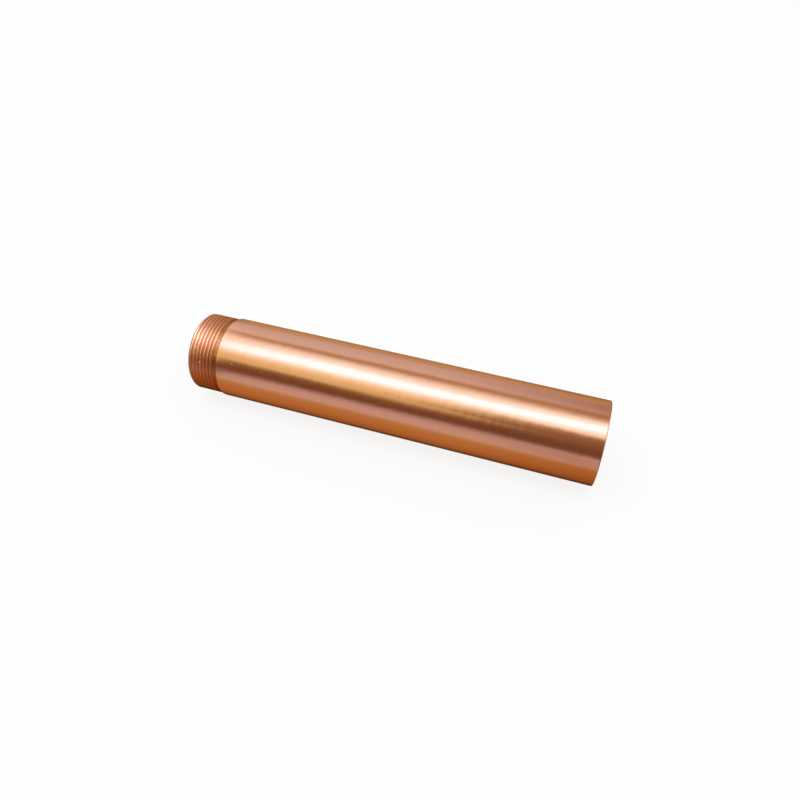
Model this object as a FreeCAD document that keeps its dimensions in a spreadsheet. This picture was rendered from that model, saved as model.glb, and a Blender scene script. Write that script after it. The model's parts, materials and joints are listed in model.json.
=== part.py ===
# A length of copper pipe. It is one drawn tube: one end is turned down to a short spigot that carries a fine
# external thread, and the other end is cut square. Between spigot and pipe lie a thread relief groove and a
# shoulder with a rounded edge. The spigot is held here at the thread's major diameter.
#
# The pipe lies on its side, with its axis along X and its lowest line on the floor at Z = 0. The threaded end
# is at -X, and the origin is on the floor under the middle of the length. All sizes are millimetres.

import FreeCAD, Part
import Sketcher
import os

# Driving sizes: spreadsheet alias, value, what it measures
SIZES = (
    ("pipe_outside_dia", 31.75, "outside diameter of the pipe, 1 1/4 in tube"),
    ("wall_thickness", 2.4, "wall of the drawn tube"),
    ("overall_length", 160.0, "from the threaded end's face to the plain end's face"),
    ("thread_turn_down", 0.45, "from the pipe's outside in to the thread's crests, on the radius"),
    ("spigot_length", 12.6, "from the threaded end's face to the shoulder"),
    ("thread_chamfer", 0.8, "lead-in chamfer on the spigot's free end"),
    ("relief_width", 2.2, "thread relief groove, along the axis at its mouth"),
    ("relief_depth", 0.6, "thread relief groove, from the thread's crests in to its floor"),
    ("relief_flank_angle", 30.0, "slope of the relief's thread-side wall, from the radial, in degrees"),
    ("shoulder_radius", 0.4, "rounded outer edge of the shoulder"),
    ("plain_end_radius", 0.4, "rounded outer edge of the plain end"),
    ("bore_chamfer", 0.4, "deburred inner edge at both ends of the bore"),
)

# Expressions that the features share, written on the aliases above
PIPE_RADIUS = "Sizes.pipe_outside_dia / 2"
BORE_RADIUS = f"{PIPE_RADIUS} - Sizes.wall_thickness"
SPIGOT_RADIUS = f"{PIPE_RADIUS} - Sizes.thread_turn_down"
RELIEF_RADIUS = f"{SPIGOT_RADIUS} - Sizes.relief_depth"
RELIEF_START = "Sizes.spigot_length - Sizes.relief_width"
FLANK_FOOT = f"{RELIEF_START} + Sizes.relief_depth * tan(Sizes.relief_flank_angle * 1deg)"
SHOULDER_FACE = "(Sizes.thread_turn_down + Sizes.relief_depth)"
SHOULDER_ROUND = f"min(Sizes.shoulder_radius; 0.95 * {SHOULDER_FACE})"  # the round ends above the relief's floor
CUT_RADIUS = "Sizes.pipe_outside_dia"  # twice the pipe's radius, so the spigot's cut starts well outside it

FULL_TURN = 360.0
MATCH_TOLERANCE = 1e-4


def make_sizes(doc):
    """The spreadsheet of driving sizes, one aliased cell a row."""
    sheet = doc.addObject("Spreadsheet::Sheet", "Sizes")
    for row, (alias, value, meaning) in enumerate(SIZES, start=1):
        sheet.set(f"A{row}", alias)
        sheet.set(f"B{row}", str(value))
        sheet.set(f"C{row}", meaning)
        sheet.setAlias(f"B{row}", alias)
    doc.recompute()
    return sheet


def origin_plane(body, role):
    return next(plane for plane in body.Origin.OriginFeatures if plane.Role == role)


def outline(body, name, corners):
    """A closed outline of straight lines on the plane through the axis, with its corners joined.

    A corner is (distance along the axis, radius), which only starts the sketch: its constraints size it.
    """
    sketch = body.newObject("Sketcher::SketchObject", name)
    sketch.AttachmentSupport = (origin_plane(body, "XZ_Plane"), [""])
    sketch.MapMode = "FlatFace"
    points = [FreeCAD.Vector(along, radius, 0) for along, radius in corners]
    count = len(points)
    for i in range(count):
        sketch.addGeometry(Part.LineSegment(points[i], points[(i + 1) % count]), False)
    for i in range(count):
        sketch.addConstraint(Sketcher.Constraint("Coincident", i, 2, (i + 1) % count, 1))
    return sketch


def size_corner(sketch, line, name, kind, expression):
    """Ties the start point of an outline's line to the axis (DistanceY) or to the threaded end (DistanceX)."""
    point = sketch.Geometry[line].StartPoint
    value = point.x if kind == "DistanceX" else point.y
    index = sketch.addConstraint(Sketcher.Constraint(kind, -1, 1, line, 1, value))
    sketch.renameConstraint(index, name)
    sketch.setExpression(f"Constraints.{name}", expression)


def square_up(sketch, level_lines, upright_lines):
    for line in level_lines:
        sketch.addConstraint(Sketcher.Constraint("Horizontal", line))
    for line in upright_lines:
        sketch.addConstraint(Sketcher.Constraint("Vertical", line))


def turned(body, kind, name, sketch):
    """A full turn of an outline about the pipe's axis: a Revolution adds it and a Groove cuts it."""
    feature = body.newObject(kind, name)
    feature.Profile = sketch
    feature.ReferenceAxis = (sketch, ["H_Axis"])
    feature.Angle = FULL_TURN
    sketch.Visibility = False
    body.Document.recompute()
    return feature


def pipe_blank(body, size):
    """The drawn tube at its full length: a plain wall about the bore."""
    outer = size.pipe_outside_dia / 2
    bore = outer - size.wall_thickness
    end = size.overall_length
    sketch = outline(body, "wall_section", [(0, bore), (end, bore), (end, outer), (0, outer)])
    square_up(sketch, level_lines=(0, 2), upright_lines=(1,))
    sketch.addConstraint(Sketcher.Constraint("PointOnObject", 0, 1, -2))
    sketch.addConstraint(Sketcher.Constraint("PointOnObject", 3, 1, -2))
    size_corner(sketch, 0, "bore_radius", "DistanceY", BORE_RADIUS)
    size_corner(sketch, 2, "pipe_radius", "DistanceY", PIPE_RADIUS)
    size_corner(sketch, 1, "length", "DistanceX", "Sizes.overall_length")
    return turned(body, "PartDesign::Revolution", "pipe_blank", sketch)


def thread_spigot(body, size):
    """Turns the threaded end down to the thread's major diameter, as far as the shoulder."""
    inner = size.pipe_outside_dia / 2 - size.thread_turn_down
    outer = size.pipe_outside_dia
    end = size.spigot_length
    sketch = outline(body, "spigot_cut", [(0, inner), (end, inner), (end, outer), (0, outer)])
    square_up(sketch, level_lines=(0, 2), upright_lines=(1,))
    sketch.addConstraint(Sketcher.Constraint("PointOnObject", 0, 1, -2))
    sketch.addConstraint(Sketcher.Constraint("PointOnObject", 3, 1, -2))
    size_corner(sketch, 0, "spigot_radius", "DistanceY", SPIGOT_RADIUS)
    size_corner(sketch, 2, "cut_radius", "DistanceY", CUT_RADIUS)
    size_corner(sketch, 1, "spigot_end", "DistanceX", "Sizes.spigot_length")
    return turned(body, "PartDesign::Groove", "thread_spigot", sketch)


def thread_relief(body, size):
    """The groove beside the shoulder where the thread runs out, with a sloped wall on the thread's side."""
    mouth = size.pipe_outside_dia / 2 - size.thread_turn_down
    floor = mouth - size.relief_depth
    shoulder = size.spigot_length
    start = shoulder - size.relief_width
    corners = [(start, mouth), (start + size.relief_width / 2, floor), (shoulder, floor), (shoulder, mouth)]
    sketch = outline(body, "relief_cut", corners)
    square_up(sketch, level_lines=(1, 3), upright_lines=(2,))
    size_corner(sketch, 1, "relief_radius", "DistanceY", RELIEF_RADIUS)
    size_corner(sketch, 0, "mouth_radius", "DistanceY", SPIGOT_RADIUS)
    size_corner(sketch, 0, "relief_start", "DistanceX", RELIEF_START)
    size_corner(sketch, 2, "relief_end", "DistanceX", "Sizes.spigot_length")
    size_corner(sketch, 1, "flank_foot", "DistanceX", FLANK_FOOT)
    return turned(body, "PartDesign::Groove", "thread_relief", sketch)


def ring_edge(feature, along, radius):
    """The name of a feature's circular edge of that radius, at that distance from the threaded end."""
    for number, edge in enumerate(feature.Shape.Edges, start=1):
        curve = edge.Curve
        if not isinstance(curve, Part.Circle):
            continue
        if abs(curve.Radius - radius) < MATCH_TOLERANCE and abs(curve.Center.x - along) < MATCH_TOLERANCE:
            return f"Edge{number}"
    raise RuntimeError(f"no edge of radius {radius} at {along}")


def edge_dressing(body, kind, name, size_name, expression, base, rings):
    """A Chamfer or Fillet of one named size on the given rings of the feature before it."""
    feature = body.newObject(kind, name)
    feature.Base = (base, [ring_edge(base, along, radius) for along, radius in rings])
    feature.setExpression(size_name, expression)
    body.Document.recompute()
    return feature


def dress_edges(body, size, base):
    """Lead-in chamfer, rounded shoulder, rounded plain end and deburred bore, one after the other."""
    outer = size.pipe_outside_dia / 2
    bore = outer - size.wall_thickness
    spigot = outer - size.thread_turn_down
    end = size.overall_length
    lead_in = edge_dressing(
        body, "PartDesign::Chamfer", "thread_lead_in", "Size", "Sizes.thread_chamfer",
        base, [(0, spigot)],
    )
    shoulder = edge_dressing(
        body, "PartDesign::Fillet", "shoulder_round", "Radius", SHOULDER_ROUND,
        lead_in, [(size.spigot_length, outer)],
    )
    plain_end = edge_dressing(
        body, "PartDesign::Fillet", "plain_end_round", "Radius", "Sizes.plain_end_radius",
        shoulder, [(end, outer)],
    )
    return edge_dressing(
        body, "PartDesign::Chamfer", "bore_deburr", "Size", "Sizes.bore_chamfer",
        plain_end, [(0, bore), (end, bore)],
    )


def copper_pipe(doc, size):
    """The whole pipe as one body, laid on the floor with the middle of its length over the origin."""
    body = doc.addObject("PartDesign::Body", "copper_pipe")
    body.Label = "copper_pipe"
    pipe_blank(body, size)
    thread_spigot(body, size)
    relief = thread_relief(body, size)
    body.Tip = dress_edges(body, size, relief)
    body.setExpression("Placement.Base.x", "-Sizes.overall_length / 2")
    body.setExpression("Placement.Base.z", PIPE_RADIUS)
    doc.recompute()
    return body


def check(doc, bodies):
    """Stops before anything is written if an object failed or a shape isn't one sound solid."""
    for item in doc.Objects:
        if "Invalid" in item.State or "Error" in item.State:
            raise RuntimeError(f"{item.Name} failed: {item.State}")
    for body in bodies:
        shape = body.Shape
        if shape.isNull() or not shape.isValid() or len(shape.Solids) != 1:
            raise RuntimeError(f"{body.Label} is not one valid solid")


def main():
    doc = FreeCAD.newDocument("copper_pipe_length")
    size = make_sizes(doc)
    bodies = [copper_pipe(doc, size)]
    check(doc, bodies)
    os.makedirs("parts", exist_ok=True)
    for body in bodies:
        body.Shape.exportStep(f"parts/{body.Label}.step")
        box = body.Shape.optimalBoundingBox()
        print(body.Label, "volume", round(body.Shape.Volume, 2), "mm3,", len(body.Shape.Faces), "faces")
        print("  size", round(box.XLength, 2), round(box.YLength, 2), round(box.ZLength, 2), "mm, lowest", box.ZMin)


main()
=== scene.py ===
"""Dresses the copper pipe length: the cut thread, the brushed copper finish and a small white studio."""
import json
import math

import bmesh
import bpy
from mathutils import Matrix, Vector


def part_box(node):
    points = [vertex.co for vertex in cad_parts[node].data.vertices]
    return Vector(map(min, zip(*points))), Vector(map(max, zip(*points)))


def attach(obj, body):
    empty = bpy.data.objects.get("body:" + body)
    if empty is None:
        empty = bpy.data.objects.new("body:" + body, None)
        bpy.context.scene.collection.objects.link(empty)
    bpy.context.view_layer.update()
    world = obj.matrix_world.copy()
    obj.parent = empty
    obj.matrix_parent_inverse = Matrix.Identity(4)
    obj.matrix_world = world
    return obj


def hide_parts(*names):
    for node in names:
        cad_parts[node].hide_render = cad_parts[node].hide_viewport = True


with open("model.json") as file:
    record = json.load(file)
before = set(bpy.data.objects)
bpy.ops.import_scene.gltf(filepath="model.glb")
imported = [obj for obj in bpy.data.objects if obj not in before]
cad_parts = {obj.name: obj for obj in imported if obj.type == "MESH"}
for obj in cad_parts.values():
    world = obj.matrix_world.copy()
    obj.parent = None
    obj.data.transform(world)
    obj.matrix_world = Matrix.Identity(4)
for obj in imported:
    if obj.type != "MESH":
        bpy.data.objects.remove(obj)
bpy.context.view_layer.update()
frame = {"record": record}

MM = 0.001

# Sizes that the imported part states
mounts = {mount["name"]: mount for mount in frame["record"]["mounts"]}
PIPE_RADIUS = mounts["pipe_outside"]["dims"]["r_mm"] * MM
CREST_RADIUS = mounts["threaded_spigot"]["dims"]["r_mm"] * MM
BORE_RADIUS = mounts["bore"]["dims"]["r_mm"] * MM
AXIS_HEIGHT = mounts["bore"]["pos_m"][2]
THREADED_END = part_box("copper_pipe")[0].x
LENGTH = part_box("copper_pipe")[1].x - THREADED_END

# Edges of the turned end and of the bore, as they are cut
LEAD_IN = 0.8 * MM
SPIGOT_LENGTH = 12.6 * MM
RELIEF_WIDTH = 2.2 * MM
RELIEF_DEPTH = 0.6 * MM
RELIEF_FLANK = math.radians(30)
SHOULDER_RADIUS = 0.4 * MM
PLAIN_END_RADIUS = 0.4 * MM
BORE_CHAMFER = 0.4 * MM

# The thread: right-handed, with rounded crests and roots
THREAD_PITCH = 1.5 * MM
THREAD_DEPTH = 0.54 * MM
CREST_SHARE = 0.24
ROOT_SHARE = 0.20
CREST_PLACE = 2.37 * MM
CREST_ANGLE = math.radians(221.5)

# How finely the mesh is divided
SIDES = 256
ROWS_PER_PITCH = 18
ARC_STEPS = 8
BODY_STEPS = 24
MERGE_DISTANCE = 0.0001 * MM
SHARP_EDGE = math.radians(32)

FINISHES = ("brushed", "thread", "relief", "turned", "bore")


def thread_radius(along, angle):
    """Radius of the cut thread, before its lead-in and its relief are turned."""
    turns = (along - CREST_PLACE) / THREAD_PITCH - (angle - CREST_ANGLE) / math.tau
    from_crest = abs(turns - round(turns))
    flank = 0.5 - (CREST_SHARE + ROOT_SHARE) / 2
    share = min(max((from_crest - CREST_SHARE / 2) / flank, 0.0), 1.0)
    return CREST_RADIUS - THREAD_DEPTH * share * share * (3 - 2 * share)


def spigot_radius(along, angle):
    """What the lathe leaves of the spigot: the deepest of the thread, the lead-in and the relief."""
    lead_in = CREST_RADIUS - LEAD_IN + along
    sloped_wall = CREST_RADIUS - (along - SPIGOT_LENGTH + RELIEF_WIDTH) / math.tan(RELIEF_FLANK)
    relief = max(sloped_wall, CREST_RADIUS - RELIEF_DEPTH)
    return min(thread_radius(along, angle), lead_in, relief)


def arc(centre, radius, start, end):
    """Points (along, radius) of a rounded edge; the angles are in degrees from the pipe's direction."""
    steps = [math.radians(start + (end - start) * i / ARC_STEPS) for i in range(ARC_STEPS + 1)]
    return [(centre[0] + radius * math.cos(a), centre[1] + radius * math.sin(a)) for a in steps]


def run(start, end, radius, steps):
    """Points along a straight stretch of wall."""
    return [(start + (end - start) * i / steps, radius) for i in range(steps + 1)]


def wall_outline():
    """The rest of the wall's outline, from the relief's floor round the plain end and back through the bore.

    Each point is (along, radius, finish of the face that leaves it).
    """
    shoulder = SPIGOT_LENGTH
    shoulder_centre = (shoulder + SHOULDER_RADIUS, PIPE_RADIUS - SHOULDER_RADIUS)
    shoulder_round = arc(shoulder_centre, SHOULDER_RADIUS, 180, 90)
    end_centre = (LENGTH - PLAIN_END_RADIUS, PIPE_RADIUS - PLAIN_END_RADIUS)
    end_round = arc(end_centre, PLAIN_END_RADIUS, 90, 0)
    body = run(shoulder + SHOULDER_RADIUS, LENGTH - PLAIN_END_RADIUS, PIPE_RADIUS, BODY_STEPS)
    bore = run(LENGTH - BORE_CHAMFER, BORE_CHAMFER, BORE_RADIUS, BODY_STEPS)
    outline = [(shoulder, CREST_RADIUS - RELIEF_DEPTH, "turned")]
    outline += [(*point, "brushed") for point in shoulder_round + body[1:-1]]
    outline += [(*point, "turned") for point in end_round]
    outline += [(LENGTH, BORE_RADIUS + BORE_CHAMFER, "turned")]
    outline += [(*point, "bore") for point in bore[:-1]]
    outline += [(*bore[-1], "turned"), (0.0, BORE_RADIUS + BORE_CHAMFER, "turned")]
    return outline


def pipe_mesh():
    """The pipe along Z from its threaded end, as rows of points round it.

    The thread's rows follow its helix, so there the last side joins a row that lies one pitch further on.
    """
    angles = [math.tau * i / SIDES for i in range(SIDES)]
    thread_end = SPIGOT_LENGTH - RELIEF_WIDTH + RELIEF_DEPTH * math.tan(RELIEF_FLANK)
    thread_rows = math.ceil(thread_end / THREAD_PITCH + 2) * ROWS_PER_PITCH
    points, faces, finishes = [], [], []

    def add_point(along, radius, angle):
        points.append((radius * math.cos(angle), radius * math.sin(angle), along))

    def a_turn_on(row, turn_shift):
        """The row that the helix reaches after a turn. Plain rings have no shift and close on themselves."""
        return min(row + turn_shift, thread_rows) if turn_shift else row

    def add_row(row, next_row, turn_shift, finish):
        for i in range(SIDES):
            j = (i + 1) % SIDES
            a, b = row, next_row
            if j == 0:
                a, b = a_turn_on(row, turn_shift), a_turn_on(next_row, turn_shift)
            faces.append((row * SIDES + i, a * SIDES + j, b * SIDES + j, next_row * SIDES + i))
            finishes.append(FINISHES.index(finish))

    for row in range(thread_rows + 1):
        for angle in angles:
            helix = THREAD_PITCH * (row / ROWS_PER_PITCH - 1 + angle / math.tau)
            along = min(max(helix, 0.0), thread_end)
            add_point(along, spigot_radius(along, angle), angle)
    outline = wall_outline()
    for along, radius, finish in outline:
        for angle in angles:
            add_point(along, radius, angle)

    for row in range(thread_rows):
        add_row(row, row + 1, ROWS_PER_PITCH, "thread")
    add_row(thread_rows, thread_rows + 1, 0, "relief")
    for i, (along, radius, finish) in enumerate(outline[:-1], start=thread_rows + 1):
        add_row(i, i + 1, 0, finish)
    add_row(thread_rows + len(outline), 0, 0, "turned")

    mesh = bpy.data.meshes.new("copper_pipe_length")
    mesh.from_pydata(points, [], faces)
    for face, finish in zip(mesh.polygons, finishes):
        face.material_index = finish
    merge_rows(mesh)
    mesh.shade_smooth()
    mesh.set_sharp_from_angle(angle=SHARP_EDGE)
    return mesh


def merge_rows(mesh):
    """Joins the thread's rows where they run together at its two ends."""
    work = bmesh.new()
    work.from_mesh(mesh)
    bmesh.ops.remove_doubles(work, verts=work.verts, dist=MERGE_DISTANCE)
    bmesh.ops.recalc_face_normals(work, faces=work.faces)
    work.to_mesh(mesh)
    work.free()


class Wire:
    """A socket of a finish's node tree. Arithmetic on it adds Math nodes."""

    def __init__(self, finish, socket):
        self.finish, self.socket = finish, socket

    def out(self, name):
        """Another output of the same node."""
        return Wire(self.finish, self.socket.node.outputs[name])

    def maths(self, operation, *values):
        return self.finish.node("ShaderNodeMath", {"operation": operation}, dict(enumerate(values)))

    def __add__(self, other):
        return self.maths("ADD", self, other)

    def __radd__(self, other):
        return self.maths("ADD", other, self)

    def __sub__(self, other):
        return self.maths("SUBTRACT", self, other)

    def __rsub__(self, other):
        return self.maths("SUBTRACT", other, self)

    def __mul__(self, other):
        return self.maths("MULTIPLY", self, other)

    def __rmul__(self, other):
        return self.maths("MULTIPLY", other, self)

    def __truediv__(self, other):
        return self.maths("DIVIDE", self, other)

    def __pow__(self, other):
        return self.maths("POWER", self, other)

    def most(self, other):
        return self.maths("MAXIMUM", self, other)


class Finish:
    """A material or world and its node tree."""

    def __init__(self, owner):
        self.owner = owner
        owner.use_nodes = True
        self.tree = owner.node_tree
        self.tree.nodes.clear()

    def node(self, kind, settings=None, sockets=None, output=0):
        """Adds a node: its settings first, then the values or links of its sockets. Returns one output."""
        made = self.tree.nodes.new(kind)
        for name, value in (settings or {}).items():
            setattr(made, name, value)
        for name, value in (sockets or {}).items():
            if isinstance(value, Wire):
                self.tree.links.new(value.socket, made.inputs[name])
            else:
                made.inputs[name].default_value = value
        return Wire(self, made.outputs[output]) if made.outputs else None


def mix_colour(finish, factor, first, second):
    """Colour between two colours or colour wires."""
    first, second = ((*c, 1.0) if isinstance(c, tuple) else c for c in (first, second))
    return finish.node("ShaderNodeMix", {"data_type": "RGBA"}, {0: factor, 6: first, 7: second}, output=2)


def ramp(finish, value, low, high):
    """0 to 1, clamped, as a value goes from low to high."""
    return finish.node("ShaderNodeMapRange", {}, {"Value": value, "From Min": low, "From Max": high})


# Colours of the copper: bright, worn, tarnished and dirty, and colours for painted shade
COPPER = (0.93, 0.472, 0.335)
WORN_COPPER = (0.905, 0.455, 0.322)
DARK_COPPER = (0.80, 0.37, 0.25)
THREAD_BRIGHT = (0.89, 0.425, 0.275)
THREAD_BROWN = (0.665, 0.25, 0.125)
GROOVE = (0.71, 0.315, 0.17)
GROOVE_BROWN = (0.47, 0.147, 0.043)
RELIEF_LIGHT = (0.62, 0.255, 0.115)
RELIEF_DARK = (0.43, 0.145, 0.045)
# Oxide in the bore, and painted shade on the outer rim of the turned faces
OXIDE_AND_RIM_SHADE = (0.36, 0.135, 0.07)
DIRT = (0.30, 0.12, 0.05)
PALE_DIRT = (0.80, 0.58, 0.48)
# Painted shade for the low side of the threaded end, standing in for how light falls there
LOW_SHADE_COLOUR = (0.30, 0.07, 0.01)
NICK_COPPER = (0.95, 0.60, 0.38)

# Small pits: distance from the threaded end, degrees round the axis, width
BODY_PIT = (19.4 * MM, -127.0, 0.28 * MM)
FAINT_PIT = (19.7 * MM, -170.0, 0.28 * MM)
THREAD_PIT = (5.5 * MM, -118.3, 0.52 * MM)


def streaks(finish, place, along, around, detail):
    """Noise in long marks: along and around are their sizes along the pipe and round it, in metres."""
    stretched = finish.node("ShaderNodeVectorMath", {"operation": "MULTIPLY"},
                            {0: place, 1: (1 / around, 1 / around, 1 / along)})
    return finish.node("ShaderNodeTexNoise", {}, {"Vector": stretched, "Scale": 1.0, "Detail": detail})


def grain(finish, place, size, detail):
    """Noise in grains of one size in metres."""
    return finish.node("ShaderNodeTexNoise", {}, {"Vector": place, "Scale": 1 / size, "Detail": detail})


def pit(finish, place, radius, along, turn, width):
    """1 in a small pit in a surface of that radius, fading to 0 at its edge."""
    angle = math.radians(turn)
    centre = (radius * math.cos(angle), radius * math.sin(angle), along)
    away = finish.node("ShaderNodeVectorMath", {"operation": "DISTANCE"}, {0: place, 1: centre},
                       output="Value")
    return ramp(finish, away, width, 0.4 * width)


def from_axis(parts):
    """Distance from the pipe's axis, of a place that is split into its X, Y and Z."""
    x, y = parts.out("X"), parts.out("Y")
    return (x * x + y * y) ** 0.5


def low_side_shade(finish, parts, top):
    """0 above a height on the threaded end and 1 low on its sides, where a painted shade darkens it.

    The height is from the axis, as a share of the radius. The mesh's own X points down once it is laid.
    """
    below_axis = parts.out("X")
    return ramp(finish, below_axis, -top * CREST_RADIUS, 0.25 * CREST_RADIUS)


def brushed_copper():
    """Drawn copper, brushed round the pipe: fine marks, and a faint wave that softens what it mirrors."""
    finish = Finish(bpy.data.materials.new("brushed_copper"))
    place = finish.node("ShaderNodeTexCoord", output="Object")
    fine = streaks(finish, place, along=0.3 * MM, around=9 * MM, detail=2.0)
    broad = streaks(finish, place, along=1.4 * MM, around=30 * MM, detail=3.0)
    wave = streaks(finish, place, along=3 * MM, around=5 * MM, detail=1.0)
    tone = ramp(finish, 0.55 * broad + 0.45 * fine, 0.36, 0.66)
    faint = 0.5 * pit(finish, place, PIPE_RADIUS, *FAINT_PIT)
    pits = pit(finish, place, PIPE_RADIUS, *BODY_PIT).most(faint)
    colour = mix_colour(finish, pits, mix_colour(finish, tone, WORN_COPPER, COPPER), NICK_COPPER)
    bump = finish.node("ShaderNodeBump", {}, {
        "Strength": 1.0, "Distance": 0.05 * MM, "Height": wave + 0.02 * fine - 0.4 * pits,
    })
    shader = finish.node("ShaderNodeBsdfPrincipled", {}, {
        "Base Color": colour, "Metallic": 1.0, "Roughness": 0.225 - 0.03 * tone + 0.4 * pits, "Normal": bump,
        "Anisotropic": 0.64, "Anisotropic Rotation": 0.25,
    })
    finish.node("ShaderNodeOutputMaterial", {}, {"Surface": shader})
    return finish.owner


def thread_copper():
    """Bright on the crests, tarnished in the grooves and towards the relief, with the die's rough grain and
    a painted shade on its low side.
    """
    finish = Finish(bpy.data.materials.new("cut_thread"))
    place = finish.node("ShaderNodeTexCoord", output="Object")
    parts = finish.node("ShaderNodeSeparateXYZ", {}, {"Vector": place})
    fine = streaks(finish, place, along=0.1 * MM, around=6 * MM, detail=2.0)
    rough = grain(finish, place, size=0.42 * MM, detail=3.0)
    worn_edge = (0.3 * fine + 0.7 * rough - 0.5) * (0.7 * MM)
    crest = ramp(finish, from_axis(parts) + worn_edge, CREST_RADIUS - THREAD_DEPTH, CREST_RADIUS - 0.1 * MM)
    worn = ramp(finish, parts.out("Z"), SPIGOT_LENGTH, 0.0)
    bright = mix_colour(finish, worn, THREAD_BROWN, THREAD_BRIGHT)
    dull = mix_colour(finish, worn, GROOVE_BROWN, GROOVE)
    pits = pit(finish, place, CREST_RADIUS, *THREAD_PIT)
    colour = mix_colour(finish, crest, dull, bright)
    # Painted shade: the low side of the thread is darkened, standing in for how light falls there
    colour = mix_colour(finish, 0.32 * low_side_shade(finish, parts, 0.35), colour, LOW_SHADE_COLOUR)
    colour = mix_colour(finish, pits, colour, NICK_COPPER)
    bump = finish.node("ShaderNodeBump", {}, {
        "Strength": 1.0, "Distance": 0.06 * MM, "Height": rough - 2 * pits,
    })
    shader = finish.node("ShaderNodeBsdfPrincipled", {}, {
        "Base Color": colour, "Metallic": 1.0, "Roughness": 0.28 + 0.12 * rough + 0.3 * pits,
        "Normal": bump,
    })
    finish.node("ShaderNodeOutputMaterial", {}, {"Surface": shader})
    return finish.owner


def relief_copper():
    """The turned groove beside the shoulder, tarnished brown, with dirt and pale specks in its corner and a
    painted shade on its low side.
    """
    finish = Finish(bpy.data.materials.new("thread_relief"))
    place = finish.node("ShaderNodeTexCoord", output="Object")
    parts = finish.node("ShaderNodeSeparateXYZ", {}, {"Vector": place})
    fine = streaks(finish, place, along=0.15 * MM, around=8 * MM, detail=2.0)
    corner = ramp(finish, parts.out("Z"), SPIGOT_LENGTH - 1.3 * MM, SPIGOT_LENGTH - 0.5 * MM)
    dirt = corner * ramp(finish, grain(finish, place, size=0.8 * MM, detail=2.0), 0.53, 0.66)
    specks = ramp(finish, grain(finish, place, size=0.55 * MM, detail=1.0), 0.52, 0.60)
    soil = mix_colour(finish, specks, DIRT, PALE_DIRT)
    tarnish_and_shade = mix_colour(finish, fine, RELIEF_DARK, RELIEF_LIGHT)
    # Painted shade: the low side of the relief is darkened, standing in for how light falls there
    tarnish_and_shade = mix_colour(finish, 0.62 * low_side_shade(finish, parts, 0.6), tarnish_and_shade, LOW_SHADE_COLOUR)
    shader = finish.node("ShaderNodeBsdfPrincipled", {}, {
        "Base Color": mix_colour(finish, dirt, tarnish_and_shade, soil), "Metallic": 1.0,
        "Roughness": 0.32 - 0.08 * fine + 0.2 * dirt,
    })
    finish.node("ShaderNodeOutputMaterial", {}, {"Surface": shader})
    return finish.owner


def turned_copper():
    """Square faces and small edges, with the fine rings that the lathe leaves and an outer rim darkened by
    painted shade.
    """
    finish = Finish(bpy.data.materials.new("turned_face"))
    place = finish.node("ShaderNodeTexCoord", output="Object")
    parts = finish.node("ShaderNodeSeparateXYZ", {}, {"Vector": place})
    radius = from_axis(parts)
    rings = finish.node("ShaderNodeTexNoise", {"noise_dimensions": "1D"}, {
        "W": radius / (0.2 * MM), "Scale": 1.0, "Detail": 3.0,
    })
    smudge = grain(finish, place, size=4 * MM, detail=3.0)
    tone = ramp(finish, 0.6 * rings + 0.4 * smudge, 0.35, 0.65)
    rim_start = PIPE_RADIUS - 1.3 * PLAIN_END_RADIUS
    rim = ramp(finish, radius, rim_start, rim_start + PLAIN_END_RADIUS)
    # Painted shade: the outer rim is darkened towards the oxide colour, standing in for the dark edge it
    # shows
    colour = mix_colour(finish, 0.75 * rim, mix_colour(finish, tone, DARK_COPPER, COPPER), OXIDE_AND_RIM_SHADE)
    bump = finish.node("ShaderNodeBump", {}, {"Strength": 1.0, "Distance": 0.02 * MM, "Height": rings})
    shader = finish.node("ShaderNodeBsdfPrincipled", {}, {
        "Base Color": colour, "Metallic": 1.0, "Roughness": 0.36 + 0.14 * smudge, "Normal": bump,
    })
    finish.node("ShaderNodeOutputMaterial", {}, {"Surface": shader})
    return finish.owner


def drawn_bore():
    """Left as drawn: long marks along the pipe, and brown oxide in patches."""
    finish = Finish(bpy.data.materials.new("drawn_bore"))
    place = finish.node("ShaderNodeTexCoord", output="Object")
    drawn = streaks(finish, place, along=45 * MM, around=0.7 * MM, detail=3.0)
    stain = streaks(finish, place, along=16 * MM, around=6 * MM, detail=4.0)
    tone = ramp(finish, 0.4 * drawn + 0.6 * stain, 0.36, 0.64)
    bump = finish.node("ShaderNodeBump", {}, {"Strength": 1.0, "Distance": 0.03 * MM, "Height": drawn})
    shader = finish.node("ShaderNodeBsdfPrincipled", {}, {
        "Base Color": mix_colour(finish, tone, OXIDE_AND_RIM_SHADE, DARK_COPPER), "Metallic": 1.0,
        "Roughness": 0.45 - 0.15 * tone, "Normal": bump,
    })
    finish.node("ShaderNodeOutputMaterial", {}, {"Surface": shader})
    return finish.owner


def add_pipe():
    """The dressed pipe, with its materials in the order of FINISHES."""
    mesh = pipe_mesh()
    for finish in (brushed_copper(), thread_copper(), relief_copper(), turned_copper(), drawn_bore()):
        mesh.materials.append(finish)
    pipe = bpy.data.objects.new("threaded_copper_pipe", mesh)
    bpy.context.scene.collection.objects.link(pipe)
    laid_down = Matrix.Rotation(math.pi / 2, 4, "Y")
    pipe.matrix_world = Matrix.Translation((THREADED_END, 0, AXIS_HEIGHT)) @ laid_down
    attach(pipe, "root")
    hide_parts("copper_pipe")


# The studio, with its lengths in metres
FLOOR_HALF = 4.0
FLOOR_WHITE = (0.96, 0.96, 0.96)
FLOOR_GLOW = 0.85
FILL = 0.70
NEAREST_SEEN = 0.01
CARD_END = 3.0
RIGHT_END_HALF = 0.9
CARD_STEPS = 12
TABLE_LIFT = 0.3 * MM

# Distances of the bent cards from the pipe's axis: where two overlap, the nearer one shows
WALL_AWAY = 0.84
FLAG_AWAY = 0.82
OVERHEAD_AWAY = 0.81
STRAW_AWAY = 0.80
LOBE_AWAY = 0.795

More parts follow.
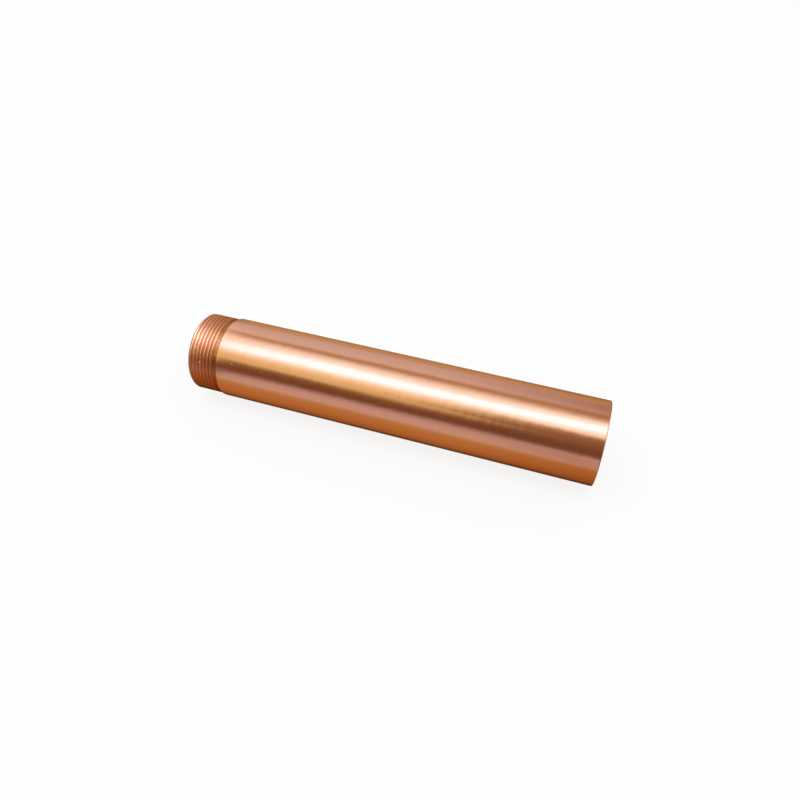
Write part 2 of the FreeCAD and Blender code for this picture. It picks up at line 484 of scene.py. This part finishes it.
# Colours of the cards that the copper mirrors
DEEP_SHADE = (0.10, 0.05, 0.02)
DARK_UMBER = (0.17, 0.085, 0.035)
UMBER = (0.19, 0.09, 0.035)
COOL_UMBER = (0.145, 0.08, 0.042)
WARM_UMBER = (0.18, 0.095, 0.052)
UMBER_EDGE = (0.20, 0.11, 0.045)
SOFT_EDGE = (0.27, 0.16, 0.07)
LIGHT_UMBER = (0.28, 0.15, 0.065)
LOW_GREY = (0.52, 0.46, 0.46)
DIM_STRAW = (0.6, 0.5, 0.3)
LOW_STRAW = (0.68, 0.67, 0.32)
MIDDLE_STRAW = (0.78, 0.77, 0.40)
STRAW = (0.82, 0.81, 0.40)
BRIGHT_STRAW = (0.95, 0.92, 0.45)
HIGH_STRAW = (0.92, 0.96, 0.53)
STRAW_TOP = (1.08, 1.18, 0.88)
FAR_GOLD = (1.1, 0.98, 0.50)
LOBE = (1.08, 1.12, 0.68)
LOBE_TOP = (1.15, 1.32, 1.02)
SEAM = (0.47, 0.35, 0.20)
PALE_WALL = (0.74, 0.75, 0.68)
WALL = (0.64, 0.65, 0.68)
TAN = (0.57, 0.44, 0.25)
DIM_SEAM = (0.38, 0.25, 0.12)
DIM_WALL = (0.44, 0.36, 0.31)
DIM_TAN = (0.52, 0.36, 0.18)
# Painted shadow of the pipe on the floor cards
TABLE_SHADOW = (0.05, 0.02, 0.01)
END_GLOW = (1.6, 1.5, 1.2)
BRIGHT_END_GLOW = (3.0, 3.0, 2.4)

# Tints of the overhead light and of the wall behind it
PLAIN = (1.0, 1.0, 1.0)
WARM = (0.80, 0.74, 0.57)
SOFTER = (0.98, 0.96, 0.96)
BRIGHT_WARM = (3.4, 4.3, 4.0)
MAUVE = (1.01, 1.04, 1.12)


def glow_card(name, places, faces, colours):
    """A glowing card that only the metal sees, with a colour at each of its points."""
    mesh = bpy.data.meshes.new(name)
    mesh.from_pydata(places, [], faces)
    glow = mesh.attributes.new("glow", "FLOAT_COLOR", "POINT")
    for point, colour in zip(glow.data, colours):
        point.color = (*colour, 1.0)
    finish = Finish(bpy.data.materials.new(name))
    colour = finish.node("ShaderNodeAttribute", {"attribute_name": "glow"}, output="Color")
    shader = finish.node("ShaderNodeEmission", {}, {"Color": colour, "Strength": 1.0})
    finish.node("ShaderNodeOutputMaterial", {}, {"Surface": shader})
    mesh.materials.append(finish.owner)
    card = bpy.data.objects.new(name, mesh)
    bpy.context.scene.collection.objects.link(card)
    card.visible_camera = card.visible_diffuse = card.visible_shadow = False


def strip(name, rows):
    """A card through rows of (place, colour), all of the same length."""
    width = len(rows[0])
    places = [place for row in rows for place, colour in row]
    colours = [colour for row in rows for place, colour in row]
    faces = []
    for start in range(0, len(places) - width, width):
        faces += [(i, i + 1, i + width + 1, i + width) for i in range(start, start + width - 1)]
    glow_card(name, places, faces, colours)


def tinted(tint, stops):
    """The same stops, with each colour times the tint."""
    return [(place, Vector(tint) * Vector(colour)) for place, colour in stops]


def bent(distance, x, stops):
    """A row bent round the pipe at x, from stops of (degrees up from the front horizon, colour)."""
    row = []
    for (start, first), (end, second) in zip(stops, stops[1:]):
        for i in range(CARD_STEPS + 1):
            share = i / CARD_STEPS
            angle = math.radians(start + (end - start) * share)
            place = (x, -distance * math.cos(angle), AXIS_HEIGHT + distance * math.sin(angle))
            row.append((place, Vector(first).lerp(Vector(second), share)))
    return row


def arch_card(name, distance, *stations):
    """A card bent round the pipe. A station along it is (x, stops), each with as many stops."""
    strip(name, [bent(distance, x, stops) for x, stops in stations])


def table_card(name, side, stops):
    """A card flat on the floor, before the pipe (side -1) or behind it (side 1).

    A stop is (distance from the axis in mm, colour). The card dims towards its ends. Its left end leans
    away from the pipe, as the copper mirrors it there. Just past the plain end it reaches in to the axis,
    like the pipe's own shade, and beyond that it leaves a lane of white floor.
    """
    full, dim, low = (1.0, 1.0, 1.0), (0.84, 0.75, 0.64), (0.2, 0.2, 0.2)
    edge, lane = stops[0][0], 60
    # x, lean, distance of the inner edge in mm, level
    stations = (
        (-CARD_END, 0.0, edge, low),
        (-0.10, -0.5, edge, (0.36, 0.29, 0.20)),
        (-0.078, -0.5, edge, (0.50, 0.45, 0.36)),
        (-0.068, -0.5, edge, full),
        (0.03, 0.0, edge, full),
        (0.08, 0.0, edge, dim),
        (0.0805, 0.0, 0, dim),
        (0.092, 0.0, 0, dim),
        (0.096, 0.0, lane, full),
        (0.3, 0.0, lane, low),
        (CARD_END, 0.0, lane, low),
    )
    rows = []
    for x, lean, inner, level in stations:
        row = []
        for i, (distance, colour) in enumerate(tinted(level, stops)):
            reach = (max(distance, inner) if i else inner) * MM
            row.append(((x + lean * reach, side * reach, TABLE_LIFT), colour))
        rows.append(row)
    strip(name, rows)


def overhead(low, high, back, tint=PLAIN):
    """Stops of the overhead light, from its front edge to its back edge, and of the wall behind it."""
    light = [
        (low, (1.03, 1.08, 0.76)),
        (low + 5.5, (1.12, 1.45, 1.25)),
        (low + 11, (1.6, 1.95, 2.4)),
        (low + 15, (2.0, 2.25, 3.0)),
        (high - 6, (2.0, 2.3, 3.1)),
        (high, (1.4, 1.6, 1.75)),
        (high + 6, (1.1, 1.38, 1.38)),
    ]
    return tinted(tint, light) + back


def add_front_cards():
    """A low grey wall and, nearer the pipe, the dark flag that its front mirrors."""
    grey = [(0, LOW_GREY), (14, LOW_GREY)]
    shade = [(0, DEEP_SHADE), (14, DEEP_SHADE)]
    arch_card("front_wall", WALL_AWAY, (-CARD_END, shade), (-0.75, shade), (-0.55, grey), (0.25, grey),
              (0.45, shade), (CARD_END, shade))
    deep = [(-5, LOW_GREY), (7, DARK_UMBER), (24, DARK_UMBER), (50, UMBER), (62, UMBER)]
    middle = [(-0.6, LOW_GREY), (9.8, COOL_UMBER), (24, COOL_UMBER), (50, UMBER), (59, UMBER)]
    shallow = [(0.5, LOW_GREY), (10.5, WARM_UMBER), (24, WARM_UMBER), (50, LIGHT_UMBER), (58, LIGHT_UMBER)]
    black = [(-4, DEEP_SHADE), (0, DEEP_SHADE), (12, DARK_UMBER), (36, LIGHT_UMBER), (58, DIM_STRAW)]
    arch_card("front_flag", FLAG_AWAY, (-CARD_END, deep), (-0.45, deep), (0.03, middle), (0.15, shallow),
              (0.35, shallow), (0.5, black), (CARD_END, black))


def add_straw_cards():
    """The straw band between the flag and the overhead light, its tail to the right and its upper lobe."""
    far = [(10, DEEP_SHADE), (13, DEEP_SHADE), (15, FAR_GOLD), (50, FAR_GOLD), (58, STRAW_TOP)]
    high = [(26, DARK_UMBER), (34, DARK_UMBER), (39, LOW_STRAW), (50, MIDDLE_STRAW), (58, STRAW_TOP)]
    full = [(16, DARK_UMBER), (30, UMBER_EDGE), (36, STRAW), (50, HIGH_STRAW), (58, STRAW_TOP)]
    soft = [(12, DARK_UMBER), (23, SOFT_EDGE), (36.5, STRAW), (50, HIGH_STRAW), (58, STRAW_TOP)]
    tail = [(24, DARK_UMBER), (30, DARK_UMBER), (35, BRIGHT_STRAW), (37, BRIGHT_STRAW), (40, LIGHT_UMBER)]
    tip = [(24, DARK_UMBER), (30, DARK_UMBER), (36, LIGHT_UMBER), (38, LIGHT_UMBER), (40, LIGHT_UMBER)]
    arch_card("straw_card", STRAW_AWAY, (-CARD_END, far), (-0.74, far), (-0.53, high), (-0.36, full),
              (-0.27, full), (-0.19, soft), (-0.12, soft), (-0.08, tail), (-0.02, tip))
    arch_card("straw_lobe", LOBE_AWAY,
              (-0.21, [(42, STRAW), (49, HIGH_STRAW), (58, STRAW_TOP)]),
              (-0.16, [(41, STRAW), (48, LOBE), (58, LOBE_TOP)]),
              (-0.10, [(44, STRAW), (49, LOBE), (58, LOBE_TOP)]),
              (-0.05, [(49, STRAW), (52, LOBE), (58, LOBE_TOP)]),
              (0.0, [(56, STRAW), (57, LOBE), (59, LOBE_TOP)]))


def add_right_end():
    """An upright card across the studio's right end, dark below and bright above."""
    # height, colour
    stops = ((0.0, DEEP_SHADE), (0.3, DEEP_SHADE), (0.5, END_GLOW), (0.9, BRIGHT_END_GLOW))
    sides = (-RIGHT_END_HALF, RIGHT_END_HALF)
    strip("right_end", [[((CARD_END, y, z), colour) for z, colour in stops] for y in sides])


def add_overhead_card():
    """The overhead light and the wall behind it, which is dimmer and browner towards the right."""
    far_left = [
        (130, (1.05, 1.0, 0.82)), (134, (1.0, 0.95, 0.8)), (140, (1.0, 0.95, 0.82)),
        (150, (0.95, 0.92, 0.82)), (160, (0.88, 0.85, 0.78)), (165, (0.80, 0.72, 0.58)),
        (170, (0.70, 0.58, 0.38)), (175, (0.68, 0.55, 0.34)), (181, (0.65, 0.50, 0.30)),
    ]
    left = [
        (105, (0.9, 1.0, 0.9)), (114, SEAM), (121, SEAM), (128, PALE_WALL), (137, (0.71, 0.72, 0.67)),
        (148, (0.64, 0.66, 0.66)), (160, WALL), (170, TAN), (181, TAN),
    ]
    middle = [
        (105, (0.8, 0.85, 0.74)), (114, SEAM), (121, SEAM), (127, (0.60, 0.58, 0.50)),
        (137, (0.57, 0.54, 0.48)), (148, (0.51, 0.48, 0.45)), (160, (0.53, 0.48, 0.46)),
        (170, TAN), (181, TAN),
    ]
    right = [
        (104, (0.72, 0.70, 0.56)), (114, DIM_SEAM), (121, DIM_SEAM), (127, (0.50, 0.42, 0.35)),
        (137, (0.47, 0.38, 0.32)), (148, (0.39, 0.30, 0.25)), (160, DIM_WALL),
        (170, DIM_TAN), (181, DIM_TAN),
    ]
    far_right = [
        (134, (1.4, 1.3, 1.0)), (137, (1.0, 0.9, 0.7)), (140, (0.6, 0.45, 0.3)),
        (146, (0.42, 0.30, 0.18)), (153, (0.41, 0.28, 0.18)), (160, (0.40, 0.27, 0.17)),
        (165, (0.38, 0.26, 0.15)), (170, (0.36, 0.25, 0.13)), (181, (0.32, 0.20, 0.09)),
    ]
    arch_card("overhead_and_back", OVERHEAD_AWAY,
              (-CARD_END, overhead(57, 120, far_left, WARM)),
              (-0.66, overhead(57, 120, far_left, WARM)),
              (-0.49, overhead(54, 81.5, left, SOFTER)),
              (-0.38, overhead(57, 91.5, left)),
              (-0.31, overhead(56, 92.6, tinted(MAUVE, left))),
              (-0.25, overhead(55, 93, left)),
              (-0.11, overhead(56.5, 86.5, left)),
              (0.03, overhead(58.5, 90, middle)),
              (0.15, overhead(62, 93.5, right)),
              (0.45, overhead(64, 94, right)),
              (0.95, overhead(80, 126, far_right, BRIGHT_WARM)),
              (CARD_END, overhead(80, 126, far_right, BRIGHT_WARM)))


def add_table_cards():
    """What the pipe's lower half mirrors: the floor, with the pipe's shadow painted on it, darkest close
    beside the pipe, and light bounced off the copper painted warm brown further out.
    """
    # Painted shadow: dark beside the pipe, then orange-brown for copper-bounced light in it, then the grey
    # floor
    table_card("table_front", -1, [
        (6, TABLE_SHADOW), (13, (0.15, 0.07, 0.02)), (16, (0.36, 0.17, 0.05)),
        (24, (0.48, 0.26, 0.08)), (44, (0.54, 0.36, 0.14)), (54, (0.61, 0.56, 0.50)),
        (100, (0.58, 0.53, 0.54)), (840, (0.42, 0.33, 0.27)),
    ])
    table_card("table_back", 1, [
        (6, TABLE_SHADOW), (16, (0.30, 0.16, 0.06)), (110, (0.48, 0.33, 0.14)),
        (840, (0.58, 0.45, 0.25)),
    ])


def seen(finish):
    """1 where the ray comes from the camera, a mirror or glass, and 0 where it only carries light."""
    path = finish.node("ShaderNodeLightPath", output="Is Camera Ray")
    return path.most(path.out("Is Glossy Ray")).most(path.out("Is Transmission Ray"))


def add_floor():
    """A white floor. Part of its white is its own where it is seen, which keeps the shadow pale."""
    corners = [(x * FLOOR_HALF, y * FLOOR_HALF, 0) for x, y in ((-1, -1), (1, -1), (1, 1), (-1, 1))]
    mesh = bpy.data.meshes.new("floor")
    mesh.from_pydata(corners, [], [(0, 1, 2, 3)])
    finish = Finish(bpy.data.materials.new("white_floor"))
    lit = finish.node("ShaderNodeBsdfDiffuse", {}, {"Color": (*FLOOR_WHITE, 1.0)})
    white = finish.node("ShaderNodeEmission", {}, {"Color": (1, 1, 1, 1), "Strength": 1.0})
    shader = finish.node("ShaderNodeMixShader", {}, {0: FLOOR_GLOW * seen(finish), 1: lit, 2: white})
    finish.node("ShaderNodeOutputMaterial", {}, {"Surface": shader})
    mesh.materials.append(finish.owner)
    floor = bpy.data.objects.new("floor", mesh)
    bpy.context.scene.collection.objects.link(floor)


def add_softbox(name, place, size, tilt, turn, radiance):
    """A rectangular lamp over the pipe, which lights the studio.

    The copper mirrors the overhead card in its place.
    """
    lamp = bpy.data.lights.new(name, "AREA")
    lamp.shape = "RECTANGLE"
    lamp.size, lamp.size_y = size
    lamp.energy = radiance * math.pi * size[0] * size[1]
    softbox = bpy.data.objects.new(name, lamp)
    bpy.context.scene.collection.objects.link(softbox)
    softbox.location = place
    softbox.rotation_euler = (math.radians(tilt), 0, math.radians(turn))
    softbox.visible_camera = softbox.visible_glossy = False


def add_world():
    """White all round: full white where it is seen, and the fill level where it lights."""
    world = bpy.data.worlds.new("studio")
    bpy.context.scene.world = world
    finish = Finish(world)
    level = FILL + (1 - FILL) * seen(finish)
    shader = finish.node("ShaderNodeBackground", {}, {"Color": (1, 1, 1, 1), "Strength": level})
    finish.node("ShaderNodeOutputWorld", {}, {"Surface": shader})


def add_camera():
    """The photograph's camera, fitted to the pipe's outline in the 800 by 800 frame."""
    focal_pixels, frame_pixels = 664.07, 800
    camera = bpy.data.objects.new("camera", bpy.data.cameras.new("camera"))
    bpy.context.scene.collection.objects.link(camera)
    camera.location = (59.41 * MM, -169.68 * MM, 199.71 * MM)
    camera.rotation_euler = (math.radians(43.823), 0, math.radians(18.275))
    camera.data.lens = focal_pixels / frame_pixels * camera.data.sensor_width
    camera.data.clip_start = NEAREST_SEEN
    bpy.context.scene.camera = camera


add_pipe()
add_floor()
add_world()
add_softbox("overhead_softbox", (-0.4, -0.5, 2.4), (2.6, 0.9), tilt=12, turn=8, radiance=3.0)
add_front_cards()
add_straw_cards()
add_right_end()
add_overhead_card()
add_table_cards()
add_camera()
bpy.context.scene.view_settings.view_transform = "Standard"
